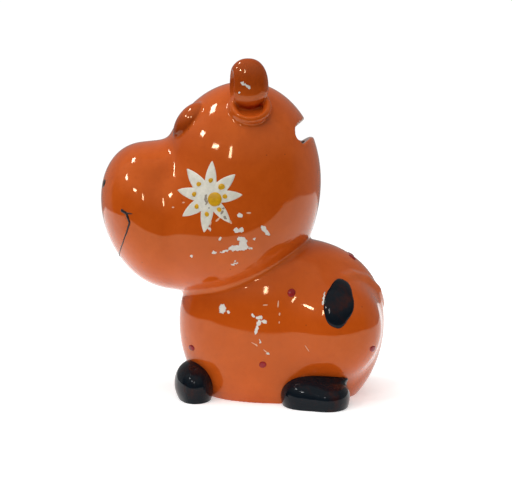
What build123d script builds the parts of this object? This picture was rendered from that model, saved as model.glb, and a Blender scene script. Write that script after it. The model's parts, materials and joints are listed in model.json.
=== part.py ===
"""Figural animal coin bank: a hollow glazed ceramic calf, sitting, with a coin slot in its head.

Millimetres. +Z is up, the calf faces -Y and its left side is +X. The origin is the middle of its
footprint, on the surface that it stands on. Every shape is mirrored about X = 0, apart from the tail.
"""

from build123d import *
from math import cos, radians, sin
import os

os.makedirs("parts", exist_ok=True)


def upright(lean):
    """The upright direction after it leans forward, towards -Y, by some degrees."""
    return (0, -sin(radians(lean)), cos(radians(lean)))


def sideways(turn):
    """The calf's left after it turns towards +Y by some degrees."""
    return (cos(radians(turn)), sin(radians(turn)), 0)


# ---------------------------------------------------------------- driving dimensions
WALL = 4.0  # thickness of the fired ceramic
ENAMEL = 0.35  # thickness of a raised enamel decoration

# A spheroid is (centre, axis, half length along the axis, radius around it).
CRANIUM = ((0, -2.2, 87.3), upright(-8.6), 43.5, 34.8)
MUZZLE = ((0, -36.8, 74.7), upright(-70), 21.5, 31)
CHEEKS = ((0, -19, 75.5), sideways(0), 33.5, 30)
RUMP = ((0, 16.2, 30), sideways(0), 33, 43.4)
BELLY = ((0, 16, 24), upright(90), 41, 34)
HAUNCH = ((19, 33, 26), sideways(0), 18.5, 25.5)

EAR = ((22, 2.4, 123.3), upright(6), 17, 8)
EAR_HOLLOW = ((20.5, -7.5, 127), upright(6), 10, 5.8)
EYE = ((11.5, -24, 113.8), upright(54), 5.2, 7.6)
FRONT_TOES = (
    ((8.5, -18.4, 6.5), sideways(20), 6.5, 11),
    ((14.5, -15.5, 6), sideways(38), 6.3, 10.4),
)
HIND_TOES = (
    ((25, 24.3, 5), sideways(8), 13.2, 9.4),
    ((25, 36.6, 5), sideways(-4), 11.8, 8.2),
)

# Coin slot, across the back of the head.
SLOT_AT = (28.4, 111.8)  # (Y, Z) of the slot's middle on the outer surface
SLOT_RISE = 34.0  # degrees that the slot's outward direction is above level
SLOT_LENGTH = 36.0
SLOT_WIDTH = 6.6
SLOT_MOUTH = 10.0
SLOT_LIP = 4.0  # depth at which the flared mouth ends
SLOT_DEPTH = 12.0
SLOT_PROUD = 2.0  # how far outside the surface the mouth is measured

# Bore through the head's underside, where coins fall into the body.
NECK_Y = 8.0
NECK_BORE = 28.0
NECK_LOW = 38.0
NECK_HIGH = 72.0

# Foot, and the hole that the stopper closes.
BASE_Y = 15.0
RECESS_BORE = 38.0
RECESS_DEPTH = 3.5
BASE_FLOOR = RECESS_DEPTH + WALL
BASE_BORE = 26.0
STOPPER_FLANGE = 33.0
STOPPER_FLANGE_THICK = 2.2
STOPPER_GAP = 0.3  # all round, between the plug and its hole
STOPPER_LENGTH = 9.0
STOPPER_TIP = 23.0
STOPPER_DIMPLE = 13.0
STOPPER_DIMPLE_DEPTH = 7.0

# Tail: a rope bent to an arc, and the leaf-shaped tuft at its end, given in (Y, Z).
TAIL_RADIUS = 2.6
TAIL_START = (0, 57.0, 39.5)
TAIL_MIDDLE = (6.2, 53.2, 49.2)
TAIL_END = (17.0, 43.2, 52.6)
TUFT_THICK = 1.4
TUFT_TIP = (36.4, 33.0)
TUFT_FRONT = (32.4, 42.5)
TUFT_ROOT = (40.6, 52.2)
TUFT_BACK = (44.2, 43.0)

# Enamel decorations.
DAISY_AT = (-12.2, 84.2)  # (Y, Z)
DAISY_PETALS = 8
DAISY_REACH = 14.2
DAISY_PETAL_WIDTH = 5.4
DAISY_HEART = 5.0
DAISY_DISC = 2.8
DAISY_DOT = 1.0
DAISY_DOT_RING = 7.0
NOSTRIL_AT = (10.5, 89.3)  # (X, Z)
NOSTRIL_HALF = (2.2, 1.6)
SMILE_Z = 87.2  # height of the middle of the smile's arc
SMILE_RADIUS = 28.2
SMILE_HALF_ANGLE = 72.0
SMILE_WIDTH = 0.9
SPOT_RADIUS = 1.45
SIDE_SPOTS = ((19.6, 46.6), (8.2, 18.4), (-20.6, 22.1), (52.4, 22.4))  # (Y, Z)
TOP_SPOT = (4.5, 45.4)  # (X, Y)

REACH = 90.0  # long enough to pass right through either casting
SIDES = ((1, "left"), (-1, "right"))


# ---------------------------------------------------------------- shapes that several pieces share
def spheroid(shape, by=0.0):
    """The solid of revolution that shape names, grown by some amount, as two halves side by side.

    The halves meet in a plane through the axis, and later cuts keep that seam, so no face wraps
    round the axis.
    """
    centre, axis, half_length, radius = shape
    along = Vector(*axis)
    across = Vector(1, 0, 0).cross(along)
    if across.length == 0:
        across = Vector(0, 1, 0)
    spin = Axis(centre, axis)
    with BuildPart(mode=Mode.PRIVATE) as half:
        with BuildSketch(Plane(origin=centre, x_dir=across, z_dir=across.cross(along))):
            with BuildLine():
                EllipticalCenterArc((0, 0), radius + by, half_length + by, start_angle=-90, arc_size=180)
                Line((0, half_length + by), (0, -half_length - by))
            make_face()
        revolve(axis=spin, revolution_arc=180, clean=False)
    with BuildPart(mode=Mode.PRIVATE) as whole:
        add(half.part)
        add(half.part.rotate(spin, 180), clean=False)
    return whole.part


def joined(shapes, by=0.0):
    """Several spheroids as one solid, grown by some amount."""
    with BuildPart(mode=Mode.PRIVATE) as form:
        for shape in shapes:
            add(spheroid(shape, by), clean=False)
    return form.part


def below(level):
    """Everything below a level."""
    with BuildPart(mode=Mode.PRIVATE) as block:
        with BuildSketch(Plane.XY.offset(level)):
            Rectangle(2 * REACH, 2 * REACH)
        extrude(amount=-REACH)
    return block.part


def head_form(by=0.0):
    """The head's outer form, grown by some amount."""
    return joined((CRANIUM, MUZZLE, CHEEKS), by)


def body_form(by=0.0, floor=0.0):
    """The body's outer form above a floor, grown by some amount."""
    with BuildPart(mode=Mode.PRIVATE) as form:
        add(joined((RUMP, BELLY, HAUNCH, on_side(HAUNCH, -1)), by))
        add(below(floor), mode=Mode.SUBTRACT, clean=False)
    return form.part


def layer(form, low, high):
    """The thin layer between two offsets of a form."""
    with BuildPart(mode=Mode.PRIVATE) as shell:
        add(form(high))
        add(form(low), mode=Mode.SUBTRACT, clean=False)
    return shell.part


def prism(outline, plane, reach=REACH):
    """An outline drawn on a plane and carried far along the plane's normal, or against it."""
    with BuildPart(mode=Mode.PRIVATE) as bar:
        with BuildSketch(plane):
            add(outline)
        extrude(amount=reach)
    return bar.part


def on_side(shape, side):
    """The spheroid of the calf's left that shape names, or its twin on the right where side is -1."""
    (x, y, z), (axis_x, axis_y, axis_z), half_length, radius = shape
    return ((side * x, y, z), (side * axis_x, axis_y, axis_z), half_length, radius)


def write(part, label):
    """Labels a finished piece and writes its file."""
    part.label = label
    export_step(part, f"parts/{label}.step")


# ---------------------------------------------------------------- body casting
with BuildPart() as body_casting:
    add(body_form())
    add(body_form(-WALL, BASE_FLOOR), mode=Mode.SUBTRACT, clean=False)
    add(head_form(), mode=Mode.SUBTRACT, clean=False)
    with BuildSketch():
        with Locations((0, BASE_Y)):
            Circle(RECESS_BORE / 2)
    extrude(amount=RECESS_DEPTH, mode=Mode.SUBTRACT, clean=False)
    with BuildSketch():
        with Locations((0, BASE_Y)):
            Circle(BASE_BORE / 2)
    extrude(amount=BASE_FLOOR, mode=Mode.SUBTRACT, clean=False)
write(body_casting.part, "body_casting")

# ---------------------------------------------------------------- head casting
rise = (0, cos(radians(SLOT_RISE)), sin(radians(SLOT_RISE)))
slot_end = (-SLOT_LENGTH / 2, *SLOT_AT)
with BuildPart() as slot_cut:
    with BuildSketch(Plane(origin=slot_end, x_dir=rise, z_dir=(1, 0, 0))):
        with BuildLine():
            Polyline(
                (SLOT_PROUD, -SLOT_MOUTH / 2),
                (SLOT_PROUD, SLOT_MOUTH / 2),
                (-SLOT_LIP, SLOT_WIDTH / 2),
                (-SLOT_DEPTH, SLOT_WIDTH / 2),
                (-SLOT_DEPTH, -SLOT_WIDTH / 2),
                (-SLOT_LIP, -SLOT_WIDTH / 2),
                close=True,
            )
        make_face()
    extrude(amount=SLOT_LENGTH)

with BuildPart() as head_casting:
    add(head_form())
    add(head_form(-WALL), mode=Mode.SUBTRACT, clean=False)
    with BuildSketch(Plane.XY.offset(NECK_LOW)):
        with Locations((0, NECK_Y)):
            Circle(NECK_BORE / 2)
    extrude(amount=NECK_HIGH - NECK_LOW, mode=Mode.SUBTRACT, clean=False)
    add(slot_cut.part, mode=Mode.SUBTRACT, clean=False)
write(head_casting.part, "head_casting")

# ---------------------------------------------------------------- ears, eyes and hooves
for side, name in SIDES:
    with BuildPart() as ear:
        add(spheroid(on_side(EAR, side)))
        add(spheroid(on_side(EAR_HOLLOW, side)), mode=Mode.SUBTRACT, clean=False)
        add(head_form(), mode=Mode.SUBTRACT, clean=False)
    write(ear.part, f"{name}_ear")

    with BuildPart() as eye:
        add(spheroid(on_side(EYE, side)))
        add(head_form(), mode=Mode.SUBTRACT, clean=False)
    write(eye.part, f"{name}_eye")

    for toes, end in ((FRONT_TOES, "front"), (HIND_TOES, "hind")):
        with BuildPart() as hoof:
            add(joined([on_side(toe, side) for toe in toes]))
            add(below(0), mode=Mode.SUBTRACT, clean=False)
            add(body_form(), mode=Mode.SUBTRACT, clean=False)
        write(hoof.part, f"{name}_{end}_hoof")

# ---------------------------------------------------------------- tail tuft, on the left flank
with BuildSketch() as tuft_outline:
    with BuildLine():
        ThreePointArc(TUFT_ROOT, TUFT_FRONT, TUFT_TIP)
        ThreePointArc(TUFT_TIP, TUFT_BACK, TUFT_ROOT)
    make_face()

with BuildPart() as tail_tuft:
    add(layer(body_form, 0, TUFT_THICK))
    add(prism(tuft_outline.sketch, Plane.YZ), mode=Mode.INTERSECT, clean=False)
write(tail_tuft.part, "tail_tuft")

# ---------------------------------------------------------------- tail, from mid rump to the tuft
with BuildPart() as tail:
    with BuildLine() as tail_line:
        ThreePointArc(TAIL_START, TAIL_MIDDLE, TAIL_END)
    with BuildSketch(Plane(origin=tail_line.line @ 0, z_dir=tail_line.line % 0)):
        Circle(TAIL_RADIUS)
    sweep()
    with Locations(TAIL_START, TAIL_END):
        Sphere(TAIL_RADIUS)
    add(body_form(), mode=Mode.SUBTRACT, clean=False)
    add(tail_tuft.part, mode=Mode.SUBTRACT, clean=False)
write(tail.part, "tail")

# ---------------------------------------------------------------- daisies on the cheeks
with BuildSketch() as daisy_outline:
    with Locations(DAISY_AT):
        Circle(DAISY_HEART)
        with PolarLocations(DAISY_REACH / 2, DAISY_PETALS):
            Ellipse(DAISY_REACH / 2, DAISY_PETAL_WIDTH / 2)

with BuildSketch() as dots_outline:
    with Locations(DAISY_AT):
        Circle(DAISY_DISC)
        with PolarLocations(DAISY_DOT_RING, DAISY_PETALS):
            Circle(DAISY_DOT)

for side, name in SIDES:
    with BuildPart() as daisy:
        add(layer(head_form, 0, ENAMEL))
        add(prism(daisy_outline.sketch, Plane.YZ, side * REACH), mode=Mode.INTERSECT, clean=False)
    write(daisy.part, f"{name}_daisy")

    with BuildPart() as daisy_dots:
        add(layer(head_form, ENAMEL, 2 * ENAMEL))
        add(prism(dots_outline.sketch, Plane.YZ, side * REACH), mode=Mode.INTERSECT, clean=False)
    write(daisy_dots.part, f"{name}_daisy_dots")

# ---------------------------------------------------------------- nostrils and smile
with BuildSketch() as nostril_outline:
    with Locations(NOSTRIL_AT, (-NOSTRIL_AT[0], NOSTRIL_AT[1])):
        Ellipse(*NOSTRIL_HALF)

with BuildPart() as nostrils:
    add(layer(head_form, 0, ENAMEL))
    add(prism(nostril_outline.sketch, Plane.XZ), mode=Mode.INTERSECT, clean=False)
write(nostrils.part, "nostrils")

with BuildSketch() as smile_outline:
    with BuildLine():
        CenterArc((0, SMILE_Z), SMILE_RADIUS, -90 - SMILE_HALF_ANGLE, 2 * SMILE_HALF_ANGLE)
        offset(amount=SMILE_WIDTH / 2, side=Side.BOTH)
    make_face()

with BuildPart() as smile:
    add(layer(head_form, 0, ENAMEL))
    add(prism(smile_outline.sketch, Plane.XZ), mode=Mode.INTERSECT, clean=False)
write(smile.part, "smile")

# ---------------------------------------------------------------- red spots on the body
with BuildSketch() as side_spots_outline:
    with Locations(*SIDE_SPOTS):
        Circle(SPOT_RADIUS)

for side, name in SIDES:
    with BuildSketch() as top_spot_outline:
        with Locations((side * TOP_SPOT[0], TOP_SPOT[1])):
            Circle(SPOT_RADIUS)

    with BuildPart() as spots:
        add(prism(side_spots_outline.sketch, Plane.YZ, side * REACH))
        add(prism(top_spot_outline.sketch, Plane.XY.offset(BASE_FLOOR)), clean=False)
        add(layer(body_form, 0, ENAMEL), mode=Mode.INTERSECT, clean=False)
    write(spots.part, f"{name}_red_spots")

# ---------------------------------------------------------------- stopper
with BuildPart() as stopper:
    with BuildSketch(Plane(origin=(0, BASE_Y, RECESS_DEPTH), x_dir=(1, 0, 0), z_dir=(0, -1, 0))):
        with BuildLine():
            Polyline(
                (0, STOPPER_DIMPLE_DEPTH - STOPPER_FLANGE_THICK),
                (STOPPER_DIMPLE / 2, STOPPER_DIMPLE_DEPTH - STOPPER_FLANGE_THICK),
                (STOPPER_DIMPLE / 2, -STOPPER_FLANGE_THICK),
                (STOPPER_FLANGE / 2, -STOPPER_FLANGE_THICK),
                (STOPPER_FLANGE / 2, 0),
                (BASE_BORE / 2 - STOPPER_GAP, 0),
                (STOPPER_TIP / 2, STOPPER_LENGTH),
                (0, STOPPER_LENGTH),
                close=True,
            )
        make_face()
    revolve(axis=Axis((0, BASE_Y, 0), (0, 0, 1)))
write(stopper.part, "stopper")
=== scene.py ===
"""The looks of a sitting calf coin bank: glazed ceramic with enamel decorations and chipped glaze.

Shapes are worked out in millimetres as distance fields, and become meshes in metres. A field is a
function that takes points and gives how far each one is outside a form. The calf faces -Y, and its left,
+X, is the side that the photo shows. The widths, the right side and the inside are guessed.
"""

import json
import math

import bpy
import numpy as np
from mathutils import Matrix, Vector

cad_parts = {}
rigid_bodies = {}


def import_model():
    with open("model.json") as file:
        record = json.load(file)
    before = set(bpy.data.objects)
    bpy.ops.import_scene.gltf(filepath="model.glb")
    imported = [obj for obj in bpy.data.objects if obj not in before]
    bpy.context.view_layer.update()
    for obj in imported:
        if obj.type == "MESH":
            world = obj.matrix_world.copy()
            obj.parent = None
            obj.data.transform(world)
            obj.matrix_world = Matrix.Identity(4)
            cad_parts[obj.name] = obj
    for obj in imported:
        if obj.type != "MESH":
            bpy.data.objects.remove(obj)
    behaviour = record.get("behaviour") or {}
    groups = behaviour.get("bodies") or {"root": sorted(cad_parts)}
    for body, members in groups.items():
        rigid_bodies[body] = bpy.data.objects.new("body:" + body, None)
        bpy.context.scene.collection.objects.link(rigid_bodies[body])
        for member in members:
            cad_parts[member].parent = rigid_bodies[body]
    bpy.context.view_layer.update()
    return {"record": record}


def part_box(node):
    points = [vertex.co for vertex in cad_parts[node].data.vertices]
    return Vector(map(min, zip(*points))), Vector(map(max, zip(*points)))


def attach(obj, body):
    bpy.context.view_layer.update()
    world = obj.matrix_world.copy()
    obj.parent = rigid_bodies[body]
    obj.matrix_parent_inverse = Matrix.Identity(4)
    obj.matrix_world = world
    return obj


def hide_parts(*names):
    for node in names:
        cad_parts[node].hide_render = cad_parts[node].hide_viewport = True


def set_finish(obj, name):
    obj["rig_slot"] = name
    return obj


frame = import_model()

MM = 0.001
PITCH = 0.8  # size of a casting's faces
FINE_PITCH = 0.45  # size of the faces of small pieces
WALL = 4.0  # thickness of the castings
LEFT, RIGHT = 1, -1  # signs of X
SIDES = ((LEFT, "left"), (RIGHT, "right"))


# ---------------------------------------------------------------- places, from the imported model
def node_box(node):
    """The lowest and highest corner of a CAD node, in millimetres."""
    low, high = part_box(node)
    return np.array(low) / MM, np.array(high) / MM


def middle(node):
    """The middle of a CAD node's box, in millimetres."""
    low, high = node_box(node)
    return (low + high) / 2


HEAD = middle("head_casting")
BODY = middle("body_casting")
BASE_HOLE = middle("stopper")


# ---------------------------------------------------------------- distance fields
def turned(tilt=0.0, turn=0.0):
    """A form's own axes, as columns, after it tilts about X and then turns about Z, in degrees."""
    t, s = math.radians(tilt), math.radians(turn)
    about_x = np.array([[1, 0, 0], [0, math.cos(t), -math.sin(t)], [0, math.sin(t), math.cos(t)]])
    about_z = np.array([[math.cos(s), -math.sin(s), 0], [math.sin(s), math.cos(s), 0], [0, 0, 1]])
    return about_z @ about_x


def ellipsoid(centre, radii, tilt=0.0, turn=0.0):
    axes = turned(tilt, turn)
    radii = np.array(radii, float)

    def field(points):
        local = (points - np.array(centre)) @ axes
        scaled = np.linalg.norm(local / radii, axis=1)
        slope = np.linalg.norm(local / radii**2, axis=1)
        return scaled * (scaled - 1) / np.maximum(slope, 1e-6)

    return field


def loaf(centre, radii, height, power):
    """An ellipsoid whose upper half has its own height, and is fuller or flatter than an ellipsoid's."""

    def field(points):
        local = points - np.array(centre)
        level = np.hypot(local[:, 0] / radii[0], local[:, 1] / radii[1])
        half = np.where(local[:, 2] > 0, height, radii[2])
        curve = np.where(local[:, 2] > 0, power, 2.0)
        up = np.abs(local[:, 2]) / half
        size = np.maximum((level**curve + up**curve) ** (1 / curve), 1e-6)
        flat = np.maximum(level, 1e-6) ** (curve - 2)
        slope = np.sqrt(
            (flat * local[:, 0] / radii[0] ** 2) ** 2
            + (flat * local[:, 1] / radii[1] ** 2) ** 2
            + (up ** (curve - 1) / half) ** 2
        ) * size ** (1 - curve)
        return (size - 1) / np.maximum(slope, 1e-6)

    return field


def ring(centre, normal, radius, thickness):
    normal = np.array(normal, float) / np.linalg.norm(normal)

    def field(points):
        offset = points - np.array(centre)
        height = offset @ normal
        outward = np.linalg.norm(offset - height[:, None] * normal, axis=1)
        return np.hypot(outward - radius, height) - thickness

    return field


def rope(path, radii):
    """A rope along a list of points, whose radius changes from point to point."""

    def field(points):
        nearest = np.full(len(points), 1e9)
        for a, b, r_a, r_b in zip(path, path[1:], radii, radii[1:]):
            run = np.array(b) - np.array(a)
            t = np.clip((points - np.array(a)) @ run / (run @ run), 0, 1)
            away = np.linalg.norm(points - np.array(a) - t[:, None] * run, axis=1)
            nearest = np.minimum(nearest, away - (r_a + (r_b - r_a) * t))
        return nearest

    return field


def post(x, y, radius, low, high):
    """An upright round post."""

    def field(points):
        outward = np.hypot(points[:, 0] - x, points[:, 1] - y) - radius
        return np.maximum(outward, np.maximum(low - points[:, 2], points[:, 2] - high))

    return field


def soft_min(a, b, softness):
    share = np.maximum(softness - np.abs(a - b), 0) / softness
    return np.minimum(a, b) - share**2 * softness / 4


def blend(softness, *fields):
    """The forms as one, with soft fillets where they meet."""

    def field(points):
        total = fields[0](points)
        for other in fields[1:]:
            total = soft_min(total, other(points), softness)
        return total

    return field


def carve(softness, form, *holes):
    """A form with holes in it, whose edges are softened."""

    def field(points):
        total = form(points)
        for hole in holes:
            total = -soft_min(-total, hole(points), softness)
        return total

    return field


def grow(form, by):
    return lambda points: form(points) - by


def above(level):
    return lambda points: level - points[:, 2]


def both(*fields):
    """Where all of the forms are."""
    return lambda points: np.max([field(points) for field in fields], axis=0)


def mirrored(form, side):
    """The form itself on the left, or its twin on the right."""
    return lambda points: form(points * np.array([side, 1, 1]))


def moved(form, by):
    return lambda points: form(points - np.array(by))


def gradient(field, points, step=0.02):
    """The field's slope at each point."""
    shifts = np.eye(3) * step
    return np.stack([field(points + s) - field(points - s) for s in shifts], axis=1) / (2 * step)


def unit(vectors):
    return vectors / np.maximum(np.linalg.norm(vectors, axis=-1, keepdims=True), 1e-9)


# ---------------------------------------------------------------- from a field to a mesh
def settle(field, points, limit, rounds=6):
    """Moves points onto the form's surface, by at most limit in each round."""
    for _ in range(rounds):
        slope = gradient(field, points)
        away = field(points) / np.maximum((slope**2).sum(axis=1), 0.2)
        points = points - np.clip(away, -limit, limit)[:, None] * slope
    return points


def surface_net(field, low, high, pitch):
    """The form's surface inside a box, as points and four-sided faces of about one pitch."""
    axes = [np.arange(a - 2 * pitch, b + 3 * pitch, pitch) for a, b in zip(low, high)]
    shape = [len(axis) for axis in axes]
    grid = np.empty(shape)
    for i, x in enumerate(axes[0]):
        y, z = np.meshgrid(axes[1], axes[2], indexing="ij")
        layer = np.stack([np.full(y.size, x), y.ravel(), z.ravel()], axis=1)
        grid[i] = field(layer).reshape(y.shape)
    inside = grid < 0

    cells = [n - 1 for n in shape]
    total = np.zeros([*cells, 3])
    count = np.zeros(cells)
    corners = [np.array([i, j, k]) for i in (0, 1) for j in (0, 1) for k in (0, 1)]

    def at(array, corner):
        return array[tuple(slice(c, c + n) for c, n in zip(corner, cells))]

    for start in corners:
        for axis in range(3):
            if start[axis]:
                continue
            end = start + np.eye(3, dtype=int)[axis]
            a, b = at(grid, start), at(grid, end)
            crossed = at(inside, start) != at(inside, end)
            share = np.where(crossed, a / np.where(crossed, a - b, 1), 0)
            total += crossed[..., None] * (start + share[..., None] * (end - start))
            count += crossed
    used = count > 0
    number = np.full(cells, -1)
    number[used] = np.arange(used.sum())
    origin = np.array([axis[0] for axis in axes])
    points = origin + pitch * (np.argwhere(used) + total[used] / count[used][:, None])

    faces = []
    for axis in range(3):
        u, v = (axis + 1) % 3, (axis + 2) % 3
        lower = [slice(1, n - 1) for n in shape]
        upper = list(lower)
        lower[axis], upper[axis] = slice(0, shape[axis] - 1), slice(1, shape[axis])
        a, b = inside[tuple(lower)], inside[tuple(upper)]
        for leaving, order in ((a & ~b, (0, 1, 3, 2)), (~a & b, (0, 2, 3, 1))):
            edges = np.argwhere(leaving)
            edges[:, u] += 1
            edges[:, v] += 1
            quad = []
            for du, dv in ((1, 1), (0, 1), (1, 0), (0, 0)):
                cell = edges.copy()
                cell[:, u] -= du
                cell[:, v] -= dv
                quad.append(number[tuple(cell.T)])
            faces.append(np.stack([quad[i] for i in order], axis=1))
    return points, np.concatenate(faces)


def relaxed(points, faces):
    """Points moved half way to the average of their neighbours."""
    total = np.zeros_like(points)
    count = np.zeros(len(points))
    for a, b in ((0, 1), (1, 2), (2, 3), (3, 0)):
        for start, end in ((faces[:, a], faces[:, b]), (faces[:, b], faces[:, a])):
            np.add.at(total, start, points[end])
            np.add.at(count, start, 1)
    return (points + total / count[:, None]) / 2


def make_object(name, points, faces, normals=None):
    """A smooth mesh object from points in millimetres."""
    mesh = bpy.data.meshes.new(name)
    mesh.from_pydata((points * MM).tolist(), [], [tuple(face) for face in faces])
    mesh.shade_smooth()
    if normals is not None:
        mesh.normals_split_custom_set_from_vertices(normals.tolist())
    made = bpy.data.objects.new(name, mesh)
    bpy.context.scene.collection.objects.link(made)
    return made


def solid(name, field, low, high, pitch):
    """The form inside a box as a mesh object."""
    points, faces = surface_net(field, low, high, pitch)
    for _ in range(3):
        points = settle(field, relaxed(points, faces), pitch / 2, rounds=2)
    points = settle(field, points, pitch / 4, rounds=4)
    return make_object(name, points, faces, unit(gradient(field, points)))


def paint(piece, name, values):
    """Gives each point of a piece a value that its material reads."""
    attribute = piece.data.attributes.new(name, "FLOAT", "POINT")
    attribute.data.foreach_set("value", np.asarray(values, np.float32))


def points_of(piece):
    flat = np.empty(len(piece.data.vertices) * 3, np.float32)
    piece.data.vertices.foreach_get("co", flat)
    return flat.reshape(-1, 3).astype(float) / MM


# ---------------------------------------------------------------- the calf's forms
def head_form():
    cranium = ellipsoid(HEAD + (0, 11.3, -0.6), (34.8, 34.2, 44.4), tilt=-7.1)
    muzzle = ellipsoid(HEAD + (0, -23.6, -12.2), (30.5, 31.0, 21.0), tilt=-70)
    jowls = ellipsoid(HEAD + (0, 4.4, -15.1), (36, 31.7, 30.0))
    bridge = ellipsoid(HEAD + (0, -23, 6.2), (22, 15, 11.7))
    return blend(5, blend(9, blend(9, cranium, muzzle), jowls), bridge)


def body_form():
    rump = loaf(BODY + (0, -0.2, -5.7), (31.5, 43.2, 45), 36, 2.3)
    left, right = (ellipsoid(BODY + (side * 17.5, 19.0, -5.0), (20, 21.5, 22)) for side in (LEFT, RIGHT))
    return blend(5, rump, left, right)


EAR = middle("left_ear")
CUP = EAR + (0.9, 0.2, -5.6)  # the middle of the low collar round the left ear's foot
CUP_FACES = np.array([0.74, 0, 0.67])


def ear_lobe():
    """The upright part of the left ear, hollow in front."""
    lobe = loaf(EAR + (-0.8, -0.8, 2.0), (6.0, 8.2, 8.4), 11.7, 2.3)
    mouth = ellipsoid(EAR + (0.8, -10.3, 2.8), (4.1, 4.8, 9.0))
    return carve(0.8, lobe, mouth)


def ear_collar():
    return ring(CUP, CUP_FACES, 6.6, 1.8)


def ear_dish():
    """The shallow dish inside the left ear's collar."""
    return ellipsoid(CUP + CUP_FACES * 6.7, (8.0, 8.0, 8.0))


def eye_form():
    return ellipsoid(middle("left_eye") + (-0.3, 3.4, -0.2), (7.4, 9.4, 5.7), tilt=54)


def tail_form():
    """The low ridge of a thin tail that curls up from the rear to the left flank."""
    low, high = node_box("tail")
    path = np.array([
        (-1, high[1] - 2.6, low[2] + 0.5),
        (3.5, high[1] - 4.6, low[2] + 6.0),
        (9.5, high[1] - 8.8, low[2] + 11.0),
        (15.5, high[1] - 14.8, high[2] - 4.2),
        (19.5, high[1] - 19.5, high[2] - 6.8),
    ])
    path = settle(BODY_FORM, path, 5.0, rounds=8)
    return rope(path - unit(gradient(BODY_FORM, path)) * 1.5, (2.3, 2.4, 2.3, 2.1, 1.7))


HEAD_FORM = head_form()
BODY_FORM = body_form()
LOBES = {name: mirrored(ear_lobe(), side) for side, name in SIDES}
COLLARS = {name: mirrored(ear_collar(), side) for side, name in SIDES}
DISHES = {name: mirrored(ear_dish(), side) for side, name in SIDES}
EYES = {name: mirrored(eye_form(), side) for side, name in SIDES}
TAIL = tail_form()
CLAY = {
    "body_casting": BODY_FORM,
    "head_casting": HEAD_FORM,
    **{f"{name}_ear": blend(1.5, LOBES[name], COLLARS[name]) for name in LOBES},
    **{f"{name}_eye": EYES[name] for name in EYES},
    "tail": TAIL,
}


def skin(points):
    """The whole figure's outer surface, with the fillets where its parts are luted together."""
    body = soft_min(BODY_FORM(points), TAIL(points), 2.0)
    head = HEAD_FORM(points)
    for name in EYES:
        head = soft_min(head, COLLARS[name](points), 1.8)
        head = -soft_min(-head, DISHES[name](points), 1.0)
        head = soft_min(head, LOBES[name](points), 1.2)
        head = soft_min(head, EYES[name](points), 0.9)
    figure = soft_min(body, head, 2.4)
    figure = -soft_min(-figure, SLOT_MOUTH(points), 1.1)
    return np.maximum(figure, -points[:, 2])


def slot_centre():
    """The middle of the coin slot, in millimetres."""
    opening = next(o for o in frame["record"]["physics"]["openings"] if o["name"] == "coin_slot")
    low, high = (np.array(corner) / MM for corner in opening["box_m"])
    return (low + high) / 2


SLOT = slot_centre()
SLOT_OUT = np.array([0, math.cos(math.radians(34)), math.sin(math.radians(34))])
SLOT_UP = np.array([0, -SLOT_OUT[2], SLOT_OUT[1]])
SLOT_TOP, SLOT_BOTTOM = 4.5, -2.7  # the slot's upper and lower faces, above its middle


def slot_cut():
    """The coin slot: a slanting bar with round ends across the back of the head, flared below."""
    length = 38.0

    def field(points):
        offset = points - SLOT
        depth = offset @ SLOT_OUT
        bottom = SLOT_BOTTOM - np.clip(depth + 1.0, 0, 8) * 0.42
        half = (SLOT_TOP - bottom) / 2
        along = np.maximum(np.abs(offset[:, 0]) - (length / 2 - half), 0)
        bar = np.hypot(along, offset @ SLOT_UP - (SLOT_TOP + bottom) / 2) - half
        return np.maximum(bar, np.abs(depth) - 12)

    return field


def slot_lip(points):
    """1 on the slot's upper face and lip, which coins have worn bare, and 0 elsewhere."""
    offset = points - SLOT
    near = np.clip((0.9 - np.abs(offset @ SLOT_UP - SLOT_TOP)) / 0.3, 0, 1)
    return near * (np.abs(offset @ SLOT_OUT) < 8) * np.clip((16 - np.abs(offset[:, 0])) / 1.5, 0, 1)


def hollows():
    """The space inside the figure, with the holes that lead to it."""
    chamber = both(grow(BODY_FORM, -WALL), above(7.5), lambda points: -HEAD_FORM(points))
    return (
        grow(HEAD_FORM, -WALL),
        chamber,
        post(0, 8, 14, 38, 72),
        slot_cut(),
        post(0, BASE_HOLE[1], 19, -5, 3.5),
        post(0, BASE_HOLE[1], 13, -5, 10),
    )


SLOT_MOUTH = both(slot_cut(), lambda points: -grow(HEAD_FORM, -3.6)(points))
HOLLOWS = hollows()


def share_of(node, points):
    """How far points are outside the part of the figure that is nearest to one of its forms."""
    own = CLAY[node](points)
    others = np.min([CLAY[other](points) for other in CLAY if other != node], axis=0)
    return (own - others) / 2


def painted_shade_share(node, points):
    """How much painted shade and reflection darken the glaze: all over the eyes, most at their bottoms,
    and on the ears towards their tips.
    """
    if node.endswith("_eye"):
        return 1 - 0.6 * np.clip((points[:, 2] - middle(node)[2] + 4) / 9, 0, 1)
    if node.endswith("_ear"):
        return np.clip((points[:, 2] - EAR[2] + 2) / 5, 0, 1) * 0.6
    return np.zeros(len(points))


def clay_piece(node, pitch):
    """One luted part of the figure. It passes a little under its neighbours, so no gap shows."""
    lap, tuck = 1.5, 0.06
    reach = lap + 2.0  # how far the looks may pass the CAD node's box here

    def field(points):
        outside = share_of(node, points)
        surface = skin(points) + tuck * np.clip(outside / 0.8, 0, 1)
        total = np.maximum(surface, outside - lap)
        for hole in HOLLOWS:
            total = -soft_min(-total, hole(points), 0.5)
        return total

    low, high = node_box(node)
    piece = solid(node + "_glazed", field, low - reach, high + reach, pitch)
    places = points_of(piece)
    depth = -skin(places)
    forms = np.min([CLAY[other](places) for other in CLAY], axis=0)
    paint(piece, "bare", np.maximum(np.clip((depth - 0.25) / 0.2, 0, 1), slot_lip(places)))
    # the fillet attribute marks the fillets between forms, where the glaze gets a painted highlight
    paint(piece, "fillet", np.clip(forms - np.maximum(-depth, 0), 0, 1.2) / 1.2)
    # painted shade and reflection: the deep attribute darkens the eyes and the ears' tips
    paint(piece, "deep", np.clip(-share_of(node, places) * 2, 0, 1) * painted_shade_share(node, places))
    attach(piece, "figure")
    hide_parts(node)
    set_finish(piece, "orange_glaze")


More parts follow.
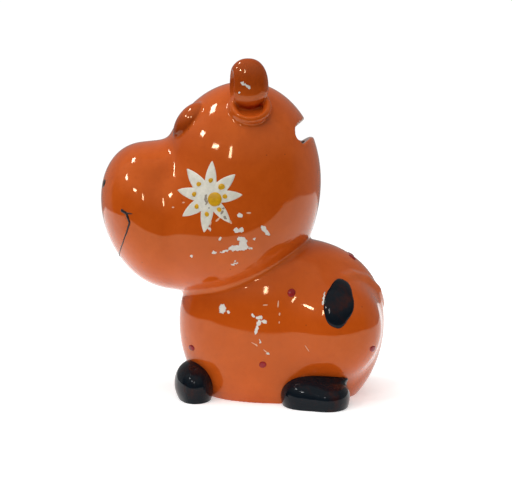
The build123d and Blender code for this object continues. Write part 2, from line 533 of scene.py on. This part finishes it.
# ---------------------------------------------------------------- black hooves
def hoof_form(front):
    """The left front or hind hoof: two toes nearly in one, and the hind foot's ankle as a ledge."""
    if front:
        root = middle("left_front_hoof")
        toes = (
            loaf(root + (-2.6, -2.2, -2.2), (10.2, 7.7, 8.4), 9.5, 2.1),
            loaf(root + (2.8, -0.7, -2.4), (10.4, 6.9, 13.0), 8.4, 2.2),
        )
        return blend(4.0, *toes)
    root = middle("left_hind_hoof")
    toes = (
        loaf(root + (-3.2, -4.0, -1.8), (13.2, 10.9, 12), 8.6, 2.2),
        loaf(root + (-1.0, 3.6, -2.0), (13.8, 9.7, 11), 7.0, 2.2),
    )
    ledge = ellipsoid(root + (-5.8, 2.6, 4.0), (10.6, 10.4, 3.6))
    return blend(1.8, blend(4.0, *toes), ledge)


def hoof(side, name, front):
    node = f"{name}_{'front' if front else 'hind'}_hoof"
    toes = mirrored(hoof_form(front), side)
    if front and side == RIGHT:  # the camera doesn't see this one, so it stands a little further back
        toes = moved(toes, (0, 2.5, 0))
    field = both(carve(0.4, toes, grow(BODY_FORM, -0.8)), above(0))
    low, high = node_box(node)
    piece = solid(node + "_glazed", field, low - 3, high + 3, FINE_PITCH)
    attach(piece, "figure")
    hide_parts(node)
    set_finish(piece, "black_glaze")


# ---------------------------------------------------------------- enamel laid on the surface
def dropped(form, points, direction):
    """Points carried along a direction onto the form's surface, from outside it."""
    direction = np.array(direction, float)
    places = points.copy()
    for _ in range(60):
        places += np.clip(form(places), -4, 4)[:, None] * direction * 0.9
    return settle(form, places, 0.3, rounds=2)


def patch(form, outline, centre, plane, direction, height, rings=10, sink=0.4, dome=0.5):
    """A raised patch of enamel: an outline of points around a centre, dropped onto a form.

    plane has the two directions of the outline's coordinates, and the patch falls along direction. It is
    height thick, its rim goes sink deep into the form, and dome says how much of its height is a crown
    rather than a flat top with rounded edges.
    """
    start_away = 30.0
    steps = np.linspace(0, 1, rings + 1)[1:] ** 0.8
    flat = np.concatenate([[[0.0, 0.0]], *[outline * s for s in steps]])
    share = np.concatenate([[0.0], *[np.full(len(outline), s) for s in steps]])
    start = centre + flat @ np.array(plane, float) - np.array(direction) * start_away
    base = dropped(form, start, direction)
    outward = unit(gradient(form, base))
    edge = np.sqrt(np.maximum(1 - share**10, 0))
    rise = height * edge * (1 - dome * share**2)
    top = base + outward * rise[:, None]
    count = len(outline)
    faces = [(0, 1 + i, 1 + (i + 1) % count) for i in range(count)]
    for r in range(rings - 1):
        for i in range(count):
            a, b = 1 + r * count + i, 1 + r * count + (i + 1) % count
            faces.append((a, a + count, b + count, b))
    rim = 1 + (rings - 1) * count
    below = base[rim:] - outward[rim:] * sink
    bottom = base[0] - outward[0] * sink
    points = np.concatenate([top, below, [bottom]])
    under = len(top)
    for i in range(count):
        j = (i + 1) % count
        faces.append((rim + i, under + i, under + j, rim + j))
        faces.append((under + count, under + j, under + i))
    return facing_out(points, faces)


def facing_out(points, faces):
    """The closed mesh with its faces turned outward."""
    middle_point = points.mean(axis=0)
    volume = 0.0
    for face in faces:
        corners = points[list(face)] - middle_point
        for i in range(1, len(face) - 1):
            volume += corners[0] @ np.cross(corners[i], corners[i + 1])
    if volume < 0:
        faces = [tuple(reversed(face)) for face in faces]
    return points, faces


def joined_mesh(parts):
    """Several meshes as one."""
    points, faces, start = [], [], 0
    for part_points, part_faces in parts:
        points.append(part_points)
        faces += [tuple(i + start for i in face) for face in part_faces]
        start += len(part_points)
    return np.concatenate(points), faces


def enamel(node, parts, slot):
    piece = make_object(node + "_enamel", *joined_mesh(parts))
    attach(piece, "figure")
    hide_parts(node)
    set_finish(piece, slot)


def round_outline(radius, wobble, count=40, phase=0.0):
    """A hand-painted round spot: a circle that is out of true by wobble."""
    angles = np.linspace(0, 2 * math.pi, count, endpoint=False)
    out_of_true = np.sin(2 * angles + phase) + 0.5 * np.sin(3 * angles + 2 * phase)
    reach = radius * (1 + wobble * out_of_true)
    return np.stack([reach * np.cos(angles), reach * np.sin(angles)], axis=1)


PETALS = (  # each petal's direction in degrees from the calf's back upwards, its length and width
    (86, 14.3, 4.6),
    (42, 13.6, 5.0),
    (5, 13.0, 4.6),
    (-50, 12.8, 4.4),
    (-99, 13.9, 4.8),
    (-145, 13.2, 4.8),
    (169, 13.2, 4.8),
    (130, 14.3, 5.4),
)
DAISY_SHIFT = (-0.9, 1.1)  # of the hand-painted flower from the CAD one, in (Y, Z)
DISC_SHIFT = (2.1, -0.6)


def daisy_outline():
    """The outline of eight pointed petals that grow out of a small heart."""
    angles = np.linspace(-math.pi, math.pi, 360, endpoint=False)
    reach = np.full(len(angles), 5.0)
    for direction, length, width in PETALS:
        off = np.abs((angles - math.radians(direction) + math.pi) % (2 * math.pi) - math.pi)
        for r in np.linspace(2, length, 160):
            along, aside = r * np.cos(off), r * np.sin(off)
            share = np.clip(along / length, 0, 1)
            half = width / 2 * np.sin(math.pi * share**0.82) ** 0.75 * 1.02
            reach = np.where((off < 1) & (aside <= half) & (r > reach), r, reach)
        reach = np.where(off < math.radians(0.8), np.maximum(reach, length), reach)
    return np.stack([reach * np.cos(angles), reach * np.sin(angles)], axis=1)


ACROSS = ((0, 1, 0), (0, 0, 1))  # outline coordinates of a decoration painted on a cheek or flank


def daisy(side, name):
    centre = middle(f"{name}_daisy") + (0, *DAISY_SHIFT)
    centre[0] = 0
    inward = (-side, 0, 0)
    petals = patch(HEAD_FORM, daisy_outline(), centre, ACROSS, inward, 0.32, rings=14, dome=0.25)
    enamel(f"{name}_daisy", [petals], "white_enamel")
    ground = grow(HEAD_FORM, 0.26)
    dots = [patch(ground, round_outline(2.8, 0.02), centre + (0, *DISC_SHIFT), ACROSS, inward, 0.55)]
    for i, (direction, length, _) in enumerate(PETALS):
        angle, out = math.radians(direction), length * 0.47
        place = centre + (0, out * math.cos(angle), out * math.sin(angle))
        outline = round_outline(1.3 if i == 1 else 0.95, 0.07, 24, phase=i)
        dots.append(patch(ground, outline, place, ACROSS, inward, 0.45, rings=5))
    enamel(f"{name}_daisy_dots", dots, "yellow_enamel")


def nostrils():
    parts = []
    for side, _ in SIDES:
        high = middle("nostrils")[2]
        centre = np.array([side * 10.5, 0, high])
        outline = round_outline(1.0, 0.05, 32) * (2.2, 1.7)
        parts.append(patch(HEAD_FORM, outline, centre, ((1, 0, 0), (0, 0, 1)), (0, 1, 0), 0.25, rings=6))
    enamel("nostrils", parts, "black_enamel")


def stroke(form, places, widths, height=0.22):
    """A painted line along points close to a form, with a width at each of them."""
    count = 60 * (len(places) - 1)
    steps = np.linspace(0, 1, count)
    known = np.linspace(0, 1, len(places))
    path = np.stack([np.interp(steps, known, np.array(places)[:, i]) for i in range(3)], axis=1)
    width = np.interp(steps, known, widths)
    for _ in range(60):
        path[1:-1] = (path[:-2] + 2 * path[1:-1] + path[2:]) / 4
    line = settle(form, path, 3.0, rounds=10)
    outward = unit(gradient(form, line))
    aside = unit(np.cross(outward, np.gradient(line, axis=0)))
    profile = ((-1.0, -0.3), (-0.95, 0.35), (-0.5, 0.9), (0, 1.0), (0.5, 0.9), (0.95, 0.35), (1.0, -0.3))
    rows = [
        settle(form, line + aside * (u * width / 2)[:, None], 0.3, rounds=2) + outward * height * v
        for u, v in profile
    ]
    points = np.stack(rows, axis=1).reshape(-1, 3)
    wide = len(profile)
    faces = []
    for i in range(count - 1):
        for j in range(wide):
            a, b = i * wide + j, i * wide + (j + 1) % wide
            faces.append((a, b, b + wide, a + wide))
    faces.append(tuple(range(wide - 1, -1, -1)))
    faces.append(tuple((count - 1) * wide + j for j in range(wide)))
    return facing_out(points, faces)


SMILE_POINTS = (  # chin to left corner, from the middle of the CAD smile, with the line's width
    (0, -1.4, -10.7, 0.40),
    (8, -0.9, -9.9, 0.42),
    (16, 0, -7.0, 0.46),
    (22.1, 1.7, -3.3, 0.50),
    (26.4, 3.8, 1.6, 0.62),
    (28.3, 5.4, 5.9, 0.95),
    (27.7, 4.0, 9.7, 1.25),
    (26.0, 1.8, 10.9, 1.2),
)
TICK_END = (28.9, 6.6, 9.6)  # of the tick at the left corner


def smile():
    """A thin curved mouth, thicker at its corners, where a short tick crosses it."""
    root = middle("smile")
    left = [np.array(point[:3]) for point in SMILE_POINTS]
    widths = [point[3] for point in SMILE_POINTS]
    other = [point * (-1, 1, 1) for point in left]
    line = [root + point for point in other[:0:-1] + left]
    parts = [stroke(HEAD_FORM, line, widths[:0:-1] + widths)]
    for side, _ in SIDES:
        tick = [root + np.array(point) * (side, 1, 1) for point in (left[-2], TICK_END)]
        parts.append(stroke(HEAD_FORM, tick, (0.9, 0.3)))
    enamel("smile", parts, "black_enamel")


SIDE_SPOTS = (  # (Y, Z) of each spot and its radius
    (19.4, 46.6, 1.6),
    (7.9, 17.5, 1.4),
    (-21.4, 21.6, 1.25),
    (52.3, 23.6, 1.35),
)


def red_spots(side, name):
    parts = []
    for i, (y, z, radius) in enumerate(SIDE_SPOTS):
        outline = round_outline(radius, 0.05, 32, phase=i)
        parts.append(patch(BODY_FORM, outline, np.array([0, y, z]), ACROSS, (-side, 0, 0), 0.5, rings=7))
    on_rump, flat = np.array([side * 4.5, 45.4, 0]), ((1, 0, 0), (0, 1, 0))
    parts.append(patch(BODY_FORM, round_outline(1.5, 0.05, 32), on_rump, flat, (0, 0, -1), 0.5, rings=7))
    enamel(f"{name}_red_spots", parts, "red_enamel")


TUFT_REACH = (  # how far the tuft's edge is from its middle, every 30 degrees from the back upwards
    6.0, 6.3, 8.6, 9.3, 7.0, 6.2, 6.1, 6.8, 8.6, 9.2, 6.6, 6.1,
)


def tail_tuft():
    """The black leaf of hair at the tail's end, laid on the left flank."""
    known = np.radians(np.arange(-30, 391, 30))
    reach = np.array([TUFT_REACH[-1], *TUFT_REACH, *TUFT_REACH[:2]])
    angles = np.linspace(0, 2 * math.pi, 160, endpoint=False)
    radius = np.interp(angles, known, reach)
    for _ in range(6):
        radius = (np.roll(radius, 1) + 2 * radius + np.roll(radius, -1)) / 4
    outline = np.stack([radius * np.cos(angles), radius * np.sin(angles)], axis=1)
    centre = middle("tail_tuft")
    centre[0] = 0
    ground = blend(2.5, BODY_FORM, TAIL)
    leaf = patch(ground, outline, centre, ACROSS, (-1, 0, 0), 0.9, rings=16, sink=0.6)
    enamel("tail_tuft", [leaf], "black_glaze")


# ---------------------------------------------------------------- rubber stopper
def stopper():
    """A plug with a wide flange and a dimple to grip it by, turned about the base hole's axis."""
    low, high = node_box("stopper")
    flange = (high[0] - low[0]) / 2
    bottom, top = low[2], high[2]
    ledge = bottom + 2.2
    profile = (  # radius and height, from the dimple's middle out, round the flange and up the plug
        (0, bottom + 6.4), (4.6, bottom + 6.4), (5.8, bottom + 5.8), (6.2, bottom + 1.2),
        (6.9, bottom + 0.25), (7.6, bottom), (flange - 0.7, bottom), (flange - 0.15, bottom + 0.5),
        (flange, bottom + 1.2), (flange - 0.3, ledge - 0.15), (flange - 0.9, ledge), (13.0, ledge),
        (12.55, ledge + 0.5), (12.55, ledge + 2.2), (12.3, ledge + 4.6), (12.2, ledge + 5.0),
        (11.8, top - 0.8), (11.2, top - 0.2), (10.4, top), (0, top),
    )
    count = 96
    points, faces, rows = [], [], []
    for radius, z in profile:
        if radius == 0:
            rows.append([len(points)] * count)
            points.append((0, BASE_HOLE[1], z))
            continue
        rows.append(list(range(len(points), len(points) + count)))
        for i in range(count):
            angle = 2 * math.pi * i / count
            points.append((radius * math.cos(angle), BASE_HOLE[1] + radius * math.sin(angle), z))
    for a, b in zip(rows, rows[1:]):
        for i in range(count):
            j = (i + 1) % count
            corners = list(dict.fromkeys((a[i], a[j], b[j], b[i])))
            faces.append(tuple(corners))
    points, faces = facing_out(np.array(points), faces)
    piece = make_object("stopper_rubber", points, faces)
    bevel = piece.modifiers.new("edges", "SUBSURF")
    bevel.levels = bevel.render_levels = 1
    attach(piece, "stopper")
    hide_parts("stopper")
    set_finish(piece, "white_rubber")


# ---------------------------------------------------------------- materials
class Nodes:
    """A node tree, with one short call for each kind of node."""

    def __init__(self, tree):
        self.tree = tree
        tree.nodes.clear()

    def node(self, kind, **settings):
        made = self.tree.nodes.new(kind)
        for key, value in settings.items():
            setattr(made, key, value)
        return made

    def put(self, socket, value):
        if isinstance(value, bpy.types.NodeSocket):
            self.tree.links.new(value, socket)
        else:
            socket.default_value = value

    def math(self, operation, a, b):
        made = self.node("ShaderNodeMath", operation=operation)
        self.put(made.inputs[0], a)
        self.put(made.inputs[1], b)
        return made.outputs[0]

    def vector(self, operation, a, b, output=0):
        made = self.node("ShaderNodeVectorMath", operation=operation)
        self.put(made.inputs[0], a)
        self.put(made.inputs[1], b)
        return made.outputs[output]

    def ramp(self, value, low, high, start=0.0, end=1.0):
        made = self.node("ShaderNodeMapRange", interpolation_type="SMOOTHSTEP")
        for socket, number in zip(made.inputs, (value, low, high, start, end)):
            self.put(socket, number)
        return made.outputs[0]

    def noise(self, scale, detail, roughness):
        made = self.node("ShaderNodeTexNoise")
        self.put(made.inputs["Vector"], self.place)
        made.inputs["Scale"].default_value = scale
        made.inputs["Detail"].default_value = detail
        made.inputs["Roughness"].default_value = roughness
        return made.outputs["Fac"]

    def speckle(self, scale, size, share):
        """Small spots, of some size as a share of their spacing, at a share of the places."""
        made = self.node("ShaderNodeTexVoronoi")
        self.put(made.inputs["Vector"], self.place)
        made.inputs["Scale"].default_value = scale
        apart = self.node("ShaderNodeSeparateColor")
        self.put(apart.inputs[0], made.outputs["Color"])
        chosen = self.math("LESS_THAN", apart.outputs[0], share)
        return self.math("MULTIPLY", self.ramp(made.outputs["Distance"], size, size * 0.6), chosen)

    def mix(self, share, a, b):
        made = self.node("ShaderNodeMix", data_type="RGBA")
        self.put(made.inputs["Factor"], share)
        self.put(made.inputs[6], a)
        self.put(made.inputs[7], b)
        return made.outputs[2]

    def attribute(self, name):
        return self.node("ShaderNodeAttribute", attribute_name=name).outputs["Fac"]

    def bump(self, height, distance, strength=1.0, normal=None):
        made = self.node("ShaderNodeBump")
        made.inputs["Strength"].default_value = strength
        made.inputs["Distance"].default_value = distance
        self.put(made.inputs["Height"], height)
        if normal is not None:
            self.put(made.inputs["Normal"], normal)
        return made.outputs[0]


class Finish(Nodes):
    """A material with one glossy shader."""

    def __init__(self, name):
        self.material = bpy.data.materials.new(name)
        self.material.use_nodes = True
        super().__init__(self.material.node_tree)
        self.shader = self.node("ShaderNodeBsdfPrincipled")
        output = self.node("ShaderNodeOutputMaterial")
        self.tree.links.new(self.shader.outputs[0], output.inputs["Surface"])
        self.place = self.node("ShaderNodeTexCoord").outputs["Object"]

    def done(self, color, roughness, normal, specular=0.5, tint=None, glow=0.0):
        self.put(self.shader.inputs["Base Color"], color)
        self.put(self.shader.inputs["Roughness"], roughness)
        self.put(self.shader.inputs["Normal"], normal)
        self.shader.inputs["IOR"].default_value = 1.5
        self.shader.inputs["Specular IOR Level"].default_value = specular
        if tint:
            self.shader.inputs["Specular Tint"].default_value = (*tint, 1)
        if glow:
            self.put(self.shader.inputs["Emission Color"], color)
            self.shader.inputs["Emission Strength"].default_value = glow
        return self.material


CHIPS = (  # on the left: (Y, Z) of the middle, half length, half width, slant in degrees
    # the cheek below the daisy
    (-1.7, 65.4, 4.0, 1.25, 3),
    (0.2, 67.0, 2.8, 1.5, 85),
    (-0.8, 69.1, 1.6, 0.85, 0),
    (-7.2, 64.1, 2.1, 0.45, 18),
    (3.0, 65.1, 0.9, 0.35, 0),
    (-2.5, 72.6, 1.2, 0.95, -55),
    (-0.7, 72.6, 1.2, 0.95, 60),
    (8.3, 72.9, 1.4, 0.9, -60),
    (9.4, 71.3, 1.6, 0.85, -45),
    (4.6, 69.0, 0.5, 0.45, 0),
    (-9.0, 69.2, 0.65, 0.6, 0),
    (-11.4, 63.5, 1.0, 0.55, 0),
    (-1.1, 78.4, 1.0, 0.8, 20),
    (-3.4, 58.6, 1.4, 0.35, 8),
    (-3.1, 59.9, 0.6, 0.3, 60),
    (-13.2, 73.3, 0.9, 0.5, -60),
    (-20.6, 61.6, 0.6, 0.4, 0),
    # the flank
    (-8.5, 39.6, 1.9, 1.45, 80),
    (-5.8, 38.3, 0.7, 0.5, 0),
    (4.0, 37.4, 0.8, 0.5, -60),
    (6.4, 36.8, 1.3, 0.7, 10),
    (8.5, 35.3, 1.15, 0.75, -15),
    (6.3, 34.6, 1.4, 0.85, 60),
    (5.3, 31.8, 2.0, 0.65, 78),
    (6.8, 27.2, 0.8, 0.4, 85),
    (9.9, 22.3, 0.75, 0.4, -40),
    (32.2, 44.8, 2.4, 0.5, 82),
)
SCRATCHES = (  # hairlines and small scuffs, which don't reach the clay
    (4.6, 26.0, 1.5, 0.16, -28),
    (5.3, 25.6, 0.6, 0.3, -40),
    (9.2, 23.0, 1.4, 0.18, -40),
    (25.5, 25.1, 1.6, 0.16, -55),
    (14.1, 42.3, 1.4, 0.28, 85),
    (14.6, 38.3, 0.6, 0.3, 80),
    (14.5, 35.0, 0.5, 0.2, 80),
    (8.9, 41.8, 1.0, 0.25, 5),
    (-12.7, 75.3, 1.0, 0.4, 80),
    (-9.8, 76.8, 1.2, 0.4, 45),
    (-4.8, 75.9, 0.9, 0.4, -60),
    (2.4, 79.3, 0.9, 0.35, 0),
    (-23.5, 83.1, 0.5, 0.3, 0),
    (-27.7, 81.1, 0.5, 0.3, 0),
)
EAR_CHIPS = (  # on the back of the left ear
    (0.1, 129.8, 1.1, 0.6, -20),
    (2.1, 128.7, 1.2, 0.6, -30),
    (-1.4, 126.2, 0.5, 0.4, 0),
)


RUBBED = (  # the same, where the daisy's enamel has come off
    (-14.6, 85.0, 1.6, 0.55, 85),
    (-14.2, 83.4, 0.9, 0.4, 70),
    (-8.2, 79.6, 0.9, 0.5, 60),
    (-6.9, 77.6, 0.8, 0.45, -50),
    (-9.5, 82.6, 0.6, 0.3, 30),
    (-7.6, 81.2, 0.5, 0.35, 0),
)


def marks(graph, table, roughen, beyond=2.0):
    """1 in the table's marks, where the surface is more than some millimetres to the left, else 0."""
    ragged = graph.node("ShaderNodeTexNoise")
    ragged.inputs["Scale"].default_value = 900
    ragged.inputs["Detail"].default_value = 4
    graph.put(ragged.inputs["Vector"], graph.place)
    shifted = graph.vector("SUBTRACT", ragged.outputs["Color"], (0.5, 0.5, 0.5))
    scaled = graph.node("ShaderNodeVectorMath", operation="SCALE")
    graph.put(scaled.inputs[0], shifted)
    scaled.inputs["Scale"].default_value = roughen * MM
    place = graph.vector("ADD", graph.place, scaled.outputs[0])
    nearest = None
    for y, z, long, wide, slant in table:
        angle = math.radians(slant)
        offset = graph.vector("SUBTRACT", place, (0, y * MM, z * MM))
        along = (0, math.cos(angle) / (long * MM), math.sin(angle) / (long * MM))
        aside = (0, -math.sin(angle) / (wide * MM), math.cos(angle) / (wide * MM))
        u = graph.vector("DOT_PRODUCT", offset, along, output=1)
        v = graph.vector("DOT_PRODUCT", offset, aside, output=1)
        reach = graph.math("ADD", graph.math("MULTIPLY", u, u), graph.math("MULTIPLY", v, v))
        nearest = reach if nearest is None else graph.math("MINIMUM", nearest, reach)
    apart = graph.node("ShaderNodeSeparateXYZ")
    graph.put(apart.inputs[0], graph.place)
    on_left = graph.math("GREATER_THAN", apart.outputs[0], beyond * MM)
    return graph.math("MULTIPLY", graph.ramp(nearest, 1.12, 0.9), on_left)


def orange_glaze():
    """A glossy orange glaze over white clay, chipped and scratched, with painted highlights that pale
    its fillets and painted shade that darkens the eyes and ears.
    """
    g = Finish("orange_glaze")
    cloud = g.noise(45, 4, 0.6)
    fine = g.noise(420, 3, 0.6)
    deep = g.mix(g.ramp(cloud, 0.35, 0.7), (0.50, 0.078, 0.006, 1), (0.57, 0.098, 0.010, 1))
    deep = g.mix(g.ramp(fine, 0.45, 0.75, 0, 0.25), deep, (0.42, 0.06, 0.005, 1))
    # painted shade and reflection: dark brown on the eyes and the ears' tips, wherever the deep
    # attribute is set
    deep = g.mix(g.math("MULTIPLY", g.attribute("deep"), 0.7), deep, (0.15, 0.016, 0.003, 1))
    # painted highlight: a paler orange in the fillets where forms meet
    glazed = g.mix(g.math("MULTIPLY", g.attribute("fillet"), 0.25), deep, (0.70, 0.22, 0.07, 1))
    pits = g.speckle(260, 0.10, 0.10)
    glazed = g.mix(g.math("MULTIPLY", pits, 0.6), glazed, (0.20, 0.03, 0.006, 1))
    chips = g.math("MAXIMUM", marks(g, CHIPS, 1.9), marks(g, EAR_CHIPS, 1.9, beyond=EAR[0] - 6.5))
    scratches = marks(g, SCRATCHES, 0.25)
    bare = g.math("MAXIMUM", g.attribute("bare"), chips)
    clay = g.mix(g.noise(700, 4, 0.7), (0.58, 0.55, 0.49, 1), (0.86, 0.84, 0.78, 1))
    color = g.mix(g.math("MULTIPLY", scratches, 0.75), glazed, (0.80, 0.55, 0.38, 1))
    color = g.mix(bare, color, clay)
    roughness = g.ramp(g.math("MAXIMUM", bare, scratches), 0, 1, 0.065, 0.8)
    ripple = g.bump(g.noise(75, 2, 0.4), 0.00035, 0.12)
    grain = g.bump(g.noise(1500, 3, 0.6), 0.00002, 0.25, ripple)
    edge = g.bump(g.math("MULTIPLY", g.math("MAXIMUM", chips, scratches), -1.0), 0.00025, 1.0, grain)
    return g.done(color, roughness, edge, specular=0.55, tint=(1.0, 0.72, 0.45))


def black_glaze():
    """A glossy black glaze, with a reddish brown tint where it is thin."""
    g = Finish("black_glaze")
    thin = g.ramp(g.noise(90, 3, 0.6), 0.50, 0.72)
    color = g.mix(thin, (0.005, 0.008, 0.012, 1), (0.032, 0.008, 0.006, 1))
    ripple = g.bump(g.noise(160, 3, 0.5), 0.0004, 0.35)
    roughness = g.ramp(g.noise(600, 2, 0.5), 0.3, 0.7, 0.04, 0.10)
    return g.done(color, roughness, ripple, specular=0.15)


def enamel_paint(name, color, shade, roughness, speck=0.0, rubbed=()):
    """Hand-laid enamel: streaky, slightly domed, with specks, and rubbed away in places."""
    g = Finish(name)
    streaks = g.noise(380, 4, 0.65)
    mixed = g.mix(g.ramp(streaks, 0.35, 0.7), (*shade, 1), (*color, 1))
    if speck:
        mixed = g.mix(g.speckle(420, 0.22, speck), mixed, (0.12, 0.10, 0.07, 1))
    if rubbed:
        mixed = g.mix(g.math("MULTIPLY", marks(g, rubbed, 1.2), 0.85), mixed, (0.20, 0.15, 0.11, 1))
    rough = g.ramp(g.noise(900, 2, 0.5), 0.3, 0.7, roughness, roughness + 0.15)
    return g.done(mixed, rough, g.bump(streaks, 0.00008, 0.4), specular=0.3)


def rubber():
    """Soft off-white rubber, dusty and slightly yellowed."""
    g = Finish("white_rubber")
    dust = g.ramp(g.noise(120, 5, 0.65), 0.4, 0.75)
    color = g.mix(dust, (0.70, 0.67, 0.58, 1), (0.55, 0.51, 0.42, 1))
    rough = g.ramp(g.noise(900, 3, 0.6), 0.3, 0.7, 0.45, 0.65)
    return g.done(color, rough, g.bump(g.noise(1800, 3, 0.6), 0.00003, 0.5))


# ---------------------------------------------------------------- studio
def camera():
    """A camera on the calf's left, a little above it, that frames the whole figure."""
    data = bpy.data.cameras.new("camera")
    made = bpy.data.objects.new("camera", data)
    bpy.context.scene.collection.objects.link(made)
    beside = 0.0052  # the camera stands a little behind the figure's middle
    made.location = (0.575, beside, 0.1265)
    aim = Vector((0, beside, 0.0635))
    made.rotation_euler = (aim - made.location).to_track_quat("-Z", "Y").to_euler()
    data.lens = 96.8
    data.sensor_width = 36
    data.clip_start = 0.01
    bpy.context.scene.camera = made


def lamp(name, toward, distance, width, height, power, shows=True):
    """A rectangular lamp that faces the figure's middle, and shows in its glaze or not."""
    data = bpy.data.lights.new(name, "AREA")
    data.shape = "RECTANGLE"
    data.size, data.size_y = width, height
    data.energy = power
    made = bpy.data.objects.new(name, data)
    bpy.context.scene.collection.objects.link(made)
    middle_point = Vector((0, 0, 0.07))
    made.location = middle_point + Vector(toward).normalized() * distance
    made.rotation_euler = (middle_point - made.location).to_track_quat("-Z", "Y").to_euler()
    made.visible_glossy = shows


TABLE_EDGE = 0.205  # the table ends here, on the camera's side
TABLE_REACH = 0.55


def floor():
    """A pale table top under the figure, whose near edge shows in the glaze."""
    xs = (-TABLE_REACH, -0.3, -0.1, 0.0, 0.1, TABLE_EDGE)
    ys = (-TABLE_REACH, -0.3, -0.1, 0.0, 0.1, 0.3, TABLE_REACH)
    points = [(x, y, 0) for x in xs for y in ys]
    wide = len(ys)
    faces = [
        (i * wide + j, (i + 1) * wide + j, (i + 1) * wide + j + 1, i * wide + j + 1)
        for i in range(len(xs) - 1)
        for j in range(wide - 1)
    ]
    mesh = bpy.data.meshes.new("floor")
    mesh.from_pydata(points, [], faces)
    made = bpy.data.objects.new("floor", mesh)
    bpy.context.scene.collection.objects.link(made)
    g = Finish("floor")
    color = g.mix(g.noise(8, 3, 0.5), (0.88, 0.88, 0.88, 1), (0.91, 0.91, 0.91, 1))
    grain = g.bump(g.noise(300, 2, 0.5), 0.0001, 0.1)
    mesh.materials.append(g.done(color, 0.6, grain, specular=0.2, glow=0.52))


ROOM_START, ROOM_END = -110, 72  # the dark room's azimuths, in degrees, seen from the figure
ROOM_EDGES = (4, 26)  # how many degrees its edges take to fade


def world():
    """A white studio whose room is dark on the camera's side, between the table and the ceiling."""
    made = bpy.data.worlds.new("studio")
    bpy.context.scene.world = made
    made.use_nodes = True
    g = Nodes(made.node_tree)
    apart = g.node("ShaderNodeSeparateXYZ")
    g.put(apart.inputs[0], g.node("ShaderNodeTexCoord").outputs["Generated"])
    x, y, z = apart.outputs
    azimuth = g.math("MULTIPLY", g.math("ARCTAN2", y, x), 180 / math.pi)
    left_edge = g.ramp(azimuth, ROOM_START - ROOM_EDGES[0], ROOM_START)
    right_edge = g.ramp(azimuth, ROOM_END + ROOM_EDGES[1], ROOM_END)
    room = g.math("MULTIPLY", left_edge, right_edge)
    ceiling = g.ramp(z, 0.15, 0.75, 0.03, 0.7)
    studio, dark, pale = (0.38, 0.37, 0.36, 1), (0, 0, 0, 1), (1.0, 0.98, 0.96, 1)
    light = g.mix(room, studio, g.mix(ceiling, dark, pale))
    seen = g.node("ShaderNodeLightPath").outputs["Is Camera Ray"]
    background = g.node("ShaderNodeBackground")
    g.put(background.inputs["Color"], g.mix(seen, light, (1.3, 1.3, 1.3, 1)))
    background.inputs["Strength"].default_value = 0.8
    g.put(g.node("ShaderNodeOutputWorld").inputs[0], background.outputs[0])


WINDOWS = (  # each one's azimuth and elevation, its width and height, all in degrees, and its power
    (-42, 37, 8, 3.4, 2.0),
    (-78, 42, 6.5, 3.4, 1.4),
    (-110, 58, 12, 5.2, 2.4),
    (-15, 33, 2.8, 10, 1.4),
)


def lights():
    """A soft ceiling light, and small windows that show as highlights in the glaze."""
    lamp("softbox", (0.15, 0.0, 1.0), 1.1, 1.0, 1.0, 7.2, shows=False)
    distance = 1.3
    for i, (azimuth, elevation, wide, high, power) in enumerate(WINDOWS):
        a, e = math.radians(azimuth), math.radians(elevation)
        toward = (math.cos(e) * math.cos(a), math.cos(e) * math.sin(a), math.sin(e))
        width, height = (2 * distance * math.tan(math.radians(size / 2)) for size in (wide, high))
        lamp(f"window_{i}", toward, distance, width, height, power)


# ---------------------------------------------------------------- the figure and its studio
camera()
world()
floor()
lights()
bpy.context.scene.view_settings.view_transform = "Standard"

for casting in ("body_casting", "head_casting"):
    clay_piece(casting, PITCH)
for _, name in SIDES:
    clay_piece(f"{name}_ear", FINE_PITCH)
    clay_piece(f"{name}_eye", FINE_PITCH)
clay_piece("tail", FINE_PITCH)
for side, name in SIDES:
    for front in (True, False):
        hoof(side, name, front)
    daisy(side, name)
    red_spots(side, name)
tail_tuft()
nostrils()
smile()
stopper()

finishes = {  # by slot
    "orange_glaze": orange_glaze(),
    "black_glaze": black_glaze(),
    "white_enamel": enamel_paint(
        "white_enamel", (0.76, 0.73, 0.63), (0.64, 0.62, 0.53), 0.35, speck=0.05, rubbed=RUBBED
    ),
    "yellow_enamel": enamel_paint("yellow_enamel", (0.68, 0.38, 0.004), (0.52, 0.27, 0.002), 0.3),
    "black_enamel": enamel_paint("black_enamel", (0.008, 0.008, 0.010), (0.016, 0.012, 0.010), 0.2),
    "red_enamel": enamel_paint("red_enamel", (0.30, 0.012, 0.014), (0.22, 0.008, 0.010), 0.1),
    "white_rubber": rubber(),
}
for piece in bpy.context.scene.objects:
    if piece.get("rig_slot"):
        piece.data.materials.clear()
        piece.data.materials.append(finishes[piece["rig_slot"]])
